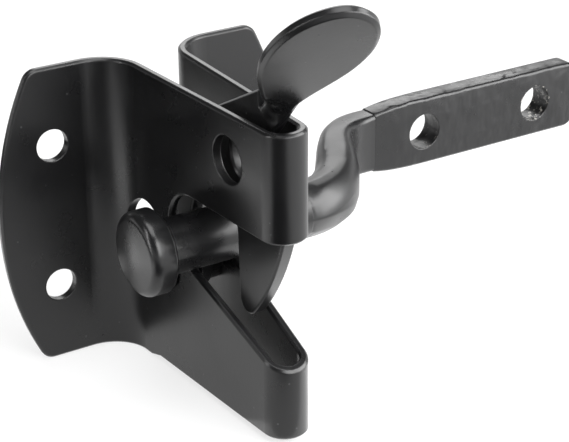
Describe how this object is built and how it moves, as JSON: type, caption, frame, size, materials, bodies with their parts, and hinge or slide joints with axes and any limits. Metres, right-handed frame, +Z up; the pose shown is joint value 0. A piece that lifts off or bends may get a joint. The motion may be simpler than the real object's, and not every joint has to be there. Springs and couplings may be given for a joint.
{
  "type": "automatic gate latch",
  "caption": "Self-closing gate latch: folded steel case with a V mouth, a pivoting hook pawl with a twisted thumb leaf, and a cranked striker bar with a mushroom head.",
  "frame": {"origin": "middle of the four-hole pattern, on the back plane of the mounting flanges", "axes": "+X toward the gate along the striker's shank, -Y forward toward the user, +Z up"},
  "size_m": [0.1648, 0.0826, 0.102],
  "materials": {
    "body_coat": "semi-gloss black powder coat on folded sheet steel",
    "pawl_coat": "semi-gloss black powder coat on pressed steel plate",
    "rivet_coat": "semi-gloss black powder coat on a steel rivet",
    "striker_coat": "semi-gloss black powder coat on forged bar"
  },
  "bodies": {
    "latch": {"latch_body": "body_coat", "pivot_rivet": "rivet_coat"},
    "pawl": {"thumb_pawl": "pawl_coat"},
    "striker_bar": {"striker": "striker_coat"}
  },
  "joints": [
    {"name": "pawl_lift", "type": "hinge", "parent": "latch", "child": "pawl", "pos_m": [0, -0.0218, -0.009], "axis": [-1, 0, 0], "range_deg": [0, 45]},
    {"name": "striker_side_play", "type": "slide", "parent": "latch", "child": "striker_bar", "axis": [1, 0, 0], "range_m": [-0.006, 0.007]}
  ]
}
